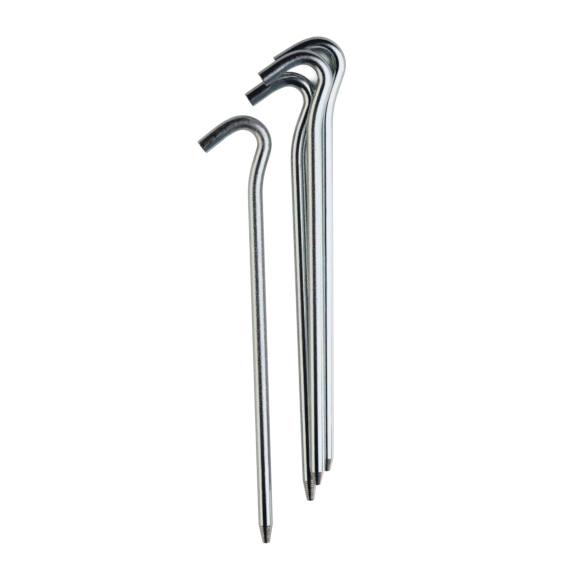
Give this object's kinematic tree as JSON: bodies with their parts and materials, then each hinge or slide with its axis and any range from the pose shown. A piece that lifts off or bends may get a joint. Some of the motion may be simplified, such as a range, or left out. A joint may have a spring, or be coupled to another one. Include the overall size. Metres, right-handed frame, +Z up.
{
  "type": "tent stake",
  "caption": "Hooked wire tent stakes in bright zinc-plated steel, some nested in a small bundle; each has a blunt turned point and an open hook for a guy line.",
  "frame": {"origin": "middle of the footprint of the stakes, on the surface that they lie on", "axes": "+Z up from that surface; +Y along the shanks, from the points towards the hooks; +X to the right seen from above"},
  "size_m": [0.0588, 0.2074, 0.0125],
  "materials": {
    "zinc_plate": "bright zinc plate on drawn wire, clear passivated"
  },
  "bodies": {
    "bundle_left": {"stake_bundle_left": "zinc_plate"},
    "bundle_right": {"stake_bundle_right": "zinc_plate"},
    "bundle_top": {"stake_bundle_top": "zinc_plate"},
    "single": {"stake_single": "zinc_plate"}
  },
  "joints": [
    {"name": "take_single_away", "type": "slide", "parent": "bundle_left", "child": "single", "axis": [-1, 0, 0], "range_m": [0, 0.05]},
    {"name": "take_right_away", "type": "slide", "parent": "bundle_left", "child": "bundle_right", "axis": [1, 0, 0], "range_m": [0, 0.05]},
    {"name": "lift_top_off", "type": "slide", "parent": "bundle_right", "child": "bundle_top", "axis": [0, 0, 1], "range_m": [0, 0.05]}
  ]
}
